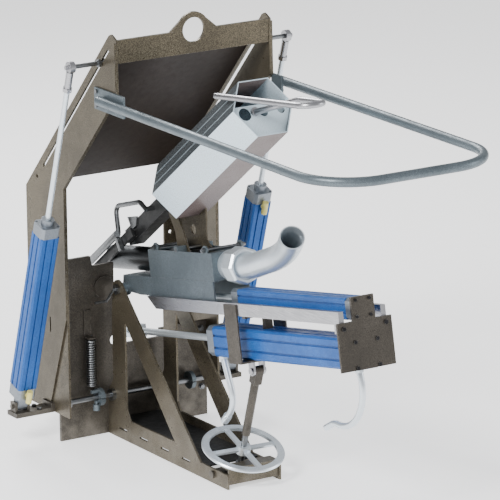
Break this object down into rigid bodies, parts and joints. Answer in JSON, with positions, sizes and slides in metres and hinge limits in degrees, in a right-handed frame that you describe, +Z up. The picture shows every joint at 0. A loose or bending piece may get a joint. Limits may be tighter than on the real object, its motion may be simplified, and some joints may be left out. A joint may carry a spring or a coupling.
{
  "type": "pneumatic squeeze chute head unit",
  "caption": "Cattle squeeze chute head unit: gantry with sliding gate on air cylinders, tilting restraint arm, suction pipe, hexagonal hood, jack wheel and bail.",
  "frame": {"origin": "bottom centre of the back plate, on the floor", "axes": "+X to the machine's left seen from behind, -Y forward along the arm, +Z up"},
  "size_m": [0.968, 2.104, 1.6449],
  "materials": {
    "frame_paint": "satin bronze-grey paint, scuffed at the edges",
    "plate_paint": "dark brown-grey paint, dusty low down",
    "panel_paint": "dark brown sheet, satin",
    "arm_paint": "blue-grey metallic paint, satin",
    "hood_sheet": "lengthwise brushed sheet with welded seams",
    "black_paint": "black paint, satin",
    "blue_profile": "blue anodised extrusion with sensor grooves",
    "cast_metal": "die-cast ends, fine grain",
    "polished_steel": "polished rods and tube",
    "bright_steel": "machined steel, lightly brushed",
    "pipe_steel": "drawn pipe, warm grey",
    "plated_steel": "zinc-plated fasteners and shafts",
    "dark_bolts": "black-oxide screws",
    "yellow_plastic": "moulded yellow fitting"
  },
  "bodies": {
    "frame": {"back_plate": "plate_paint", "base_plate_left": "frame_paint", "base_plate_right": "frame_paint", "front_channel": "frame_paint", "floor_tray": "black_paint", "gantry_plate_left": "frame_paint", "gantry_plate_right": "frame_paint", "doubler_left": "frame_paint", "doubler_right": "frame_paint", "top_beam": "frame_paint", "foot_bars": "plate_paint", "bail_tube": "arm_paint", "bail_brackets": "arm_paint", "spring_strap": "plate_paint", "return_spring": "bright_steel", "frame_bolts": "plated_steel", "arm_pivot_pin": "plated_steel", "shaft_bushes": "plated_steel"},
    "cross": {"cross_shaft": "plated_steel", "shaft_collars": "arm_paint"},
    "gate": {"gate_panel": "panel_paint", "gate_shaft": "plated_steel"},
    "cylinder_left": {"barrel_left": "blue_profile", "cylinder_ends_left": "cast_metal", "port_fitting_left": "yellow_plastic"},
    "cylinder_right": {"barrel_right": "blue_profile", "cylinder_ends_right": "cast_metal", "port_fitting_right": "yellow_plastic"},
    "piston_left": {"rod_left": "polished_steel", "rod_eye_left": "bright_steel"},
    "piston_right": {"rod_right": "polished_steel", "rod_eye_right": "bright_steel"},
    "arm": {"arm_channel": "arm_paint", "rails": "bright_steel", "end_plate": "plate_paint", "end_plate_bolts": "dark_bolts", "cylinder_hangers": "plate_paint", "lower_barrel": "blue_profile", "lower_ends": "cast_metal", "upper_barrel": "blue_profile", "upper_ends": "cast_metal", "air_pipes": "polished_steel", "jack_clevis": "bright_steel"},
    "carriage": {"clamp_box": "arm_paint", "clamp_bolts": "plated_steel", "suction_pipe": "pipe_steel", "union_nut": "polished_steel", "elbow": "polished_steel", "upper_rod": "polished_steel"},
    "hood": {"hood_shell": "hood_sheet", "hood_end_plate": "hood_sheet", "hood_arm": "black_paint", "hood_struts": "frame_paint", "loop_handle": "bright_steel", "grip_handle": "plated_steel"},
    "pusher": {"lower_rod": "polished_steel"},
    "jack": {"trunnion_block": "plate_paint"},
    "screw": {"jack_screw": "plated_steel", "handwheel": "polished_steel"},
    "tube": {"jack_tube": "plate_paint"}
  },
  "joints": [
    {"name": "gate_slide", "type": "slide", "parent": "frame", "child": "gate", "axis": [0, 0.682, -0.7314], "range_m": [0, 0.5]},
    {"name": "arm_tilt", "type": "hinge", "parent": "frame", "child": "arm", "pos_m": [0, -0.09, 0.565], "axis": [1, 0, 0], "range_deg": [-3, 3]},
    {"name": "carriage_slide", "type": "slide", "parent": "arm", "child": "carriage", "axis": [0, 0.9833, -0.1822], "range_m": [0, 0.12]},
    {"name": "hood_tilt", "type": "hinge", "parent": "carriage", "child": "hood", "pos_m": [0, -0.441, 0.783], "axis": [1, 0, 0], "range_deg": [0, 5]},
    {"name": "pusher_slide", "type": "slide", "parent": "arm", "child": "pusher", "axis": [0, -0.9833, 0.1822], "range_m": [0, 0.42]},
    {"name": "shaft_turn", "type": "hinge", "parent": "frame", "child": "cross", "pos_m": [0, -0.046, 0.157], "axis": [1, 0, 0], "range_deg": [-12, 0], "stiffness_Nm_per_rad": 6, "springref_deg": 1.15, "deforming": ["return_spring"]},
    {"name": "cylinder_tilt_left", "type": "hinge", "parent": "frame", "child": "cylinder_left", "pos_m": [-0.446, 0.057, 0.146], "axis": [1, 0, 0], "range_deg": [-12.69, 0]},
    {"name": "rod_slide_left", "type": "slide", "parent": "cylinder_left", "child": "piston_left", "axis": [0, -0.3024, 0.9532], "range_m": [-0.42794, 0]},
    {"name": "cylinder_tilt_right", "type": "hinge", "parent": "frame", "child": "cylinder_right", "pos_m": [0.446, 0.057, 0.146], "axis": [1, 0, 0], "range_deg": [-12.69, 0]},
    {"name": "rod_slide_right", "type": "slide", "parent": "cylinder_right", "child": "piston_right", "axis": [0, -0.3024, 0.9532], "range_m": [-0.42794, 0]},
    {"name": "jack_tilt", "type": "hinge", "parent": "frame", "child": "jack", "pos_m": [0, -0.735, 0.032], "axis": [1, 0, 0], "range_deg": [-0.77, 0.77]},
    {"name": "jack_slide", "type": "slide", "parent": "jack", "child": "tube", "axis": [0, -0.3068, 0.9518], "range_m": [-0.0408, 0.0408]},
    {"name": "wheel_turn", "type": "hinge", "parent": "jack", "child": "screw", "pos_m": [0, -0.735, 0.032], "axis": [0, -0.3068, 0.9518], "range_deg": [-1465.19, 1465.19]}
  ],
  "couplings": [
    {"joint": "cylinder_tilt_left", "follows": "gate_slide", "rad_per_m": -0.44267},
    {"joint": "rod_slide_left", "follows": "gate_slide", "ratio": -0.85567},
    {"joint": "cylinder_tilt_right", "follows": "gate_slide", "rad_per_m": -0.44267},
    {"joint": "rod_slide_right", "follows": "gate_slide", "ratio": -0.85567},
    {"joint": "jack_tilt", "follows": "arm_tilt", "ratio": 0.2549},
    {"joint": "jack_slide", "follows": "arm_tilt", "m_per_rad": -0.77725},
    {"joint": "wheel_turn", "follows": "arm_tilt", "ratio": 488.36}
  ]
}
